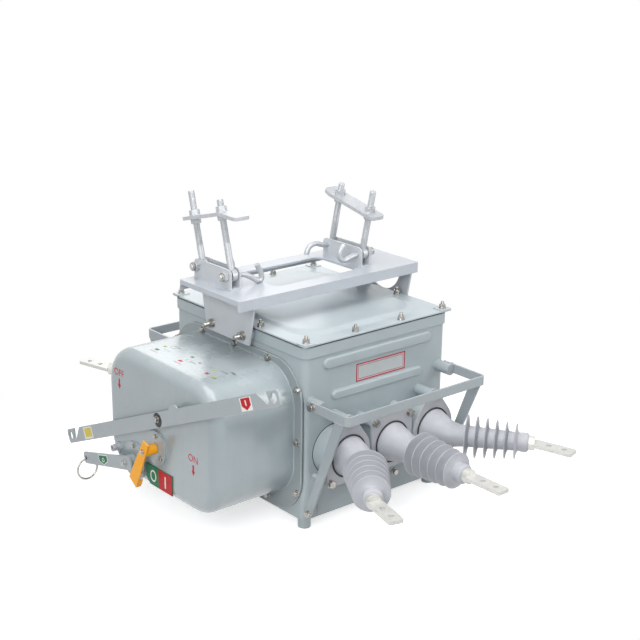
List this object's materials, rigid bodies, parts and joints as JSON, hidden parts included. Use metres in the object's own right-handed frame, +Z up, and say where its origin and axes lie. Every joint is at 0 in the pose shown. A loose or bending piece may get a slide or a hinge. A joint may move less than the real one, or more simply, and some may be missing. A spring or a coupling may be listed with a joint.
{
  "type": "pole-mounted vacuum load break switch",
  "caption": "Outdoor load break switch: steel tank with bent shedded bushings front and back, drawn mechanism cover, hook lever, winding handle, and a hanging frame with cross-arm clamps.",
  "frame": {"origin": "middle of the four feet, on the plane they stand on", "axes": "+Z up; +Y from the front row of bushings to the back row; +X from the mechanism cover to the plain end of the tank"},
  "size_m": [0.9383, 1.5492, 0.869],
  "materials": {
    "paint": "semi-gloss grey enamel",
    "resin": "satin grey silicone rubber",
    "galvanised": "hot-dip galvanised, dull",
    "steel": "bright zinc",
    "tinned": "tinned copper, dull",
    "rubber": "black gasket",
    "yellow_paint": "gloss yellow enamel",
    "indicator": "green and red plate"
  },
  "bodies": {
    "lever": {"operating_lever": "paint"},
    "handle": {"winding_handle": "paint"},
    "ring": {"pull_ring": "steel"},
    "pointer": {"pointer": "yellow_paint"},
    "switch": {"bushing_back_left": "resin", "bushing_back_middle": "resin", "bushing_back_right": "resin", "bushing_drums_back": "paint", "bushing_drums_front": "paint", "bushing_front_left": "resin", "bushing_front_middle": "resin", "bushing_front_right": "resin", "clamp_jaw_left": "galvanised", "clamp_jaw_right": "galvanised", "clamp_plates_back": "paint", "clamp_plates_front": "paint", "clamp_rods_left": "galvanised", "clamp_rods_right": "galvanised", "clevis_left": "galvanised", "clevis_right": "galvanised", "cover_flange": "paint", "feet": "paint", "frame_leg_left": "paint", "frame_leg_right": "paint", "guard_back": "paint", "guard_front": "paint", "guard_standoffs_back": "paint", "guard_standoffs_front": "paint", "hanging_frame": "paint", "hook_bolts_left": "galvanised", "hook_bolts_right": "galvanised", "indicator_plate": "indicator", "jaw_nuts_left": "galvanised", "jaw_nuts_right": "galvanised", "lever_journal": "steel", "lid": "paint", "lid_gasket": "rubber", "mechanism_cover": "paint", "pointer_bearing": "paint", "socket_stub": "steel", "tank_body": "paint", "tank_rim": "paint", "terminal_back_left": "tinned", "terminal_back_middle": "tinned", "terminal_back_right": "tinned", "terminal_front_left": "tinned", "terminal_front_middle": "tinned", "terminal_front_right": "tinned", "winding_bearing": "paint"}
  },
  "joints": [
    {"name": "lever_pivot", "type": "hinge", "parent": "switch", "child": "lever", "pos_m": [-0.542, -0.033, 0.314], "axis": [1, 0, 0], "range_deg": [0, 46]},
    {"name": "winding_pivot", "type": "hinge", "parent": "switch", "child": "handle", "pos_m": [-0.554, 0.121, 0.14], "axis": [1, 0, 0], "range_deg": [-45, 5]},
    {"name": "ring_swing", "type": "hinge", "parent": "handle", "child": "ring", "pos_m": [-0.557, 0.33041, 0.0806], "axis": [1, 0, 0], "range_deg": [-35, 55]},
    {"name": "pointer_pivot", "type": "hinge", "parent": "switch", "child": "pointer", "pos_m": [-0.566, 0.01, 0.214], "axis": [1, 0, 0], "range_deg": [-54, 0]}
  ]
}
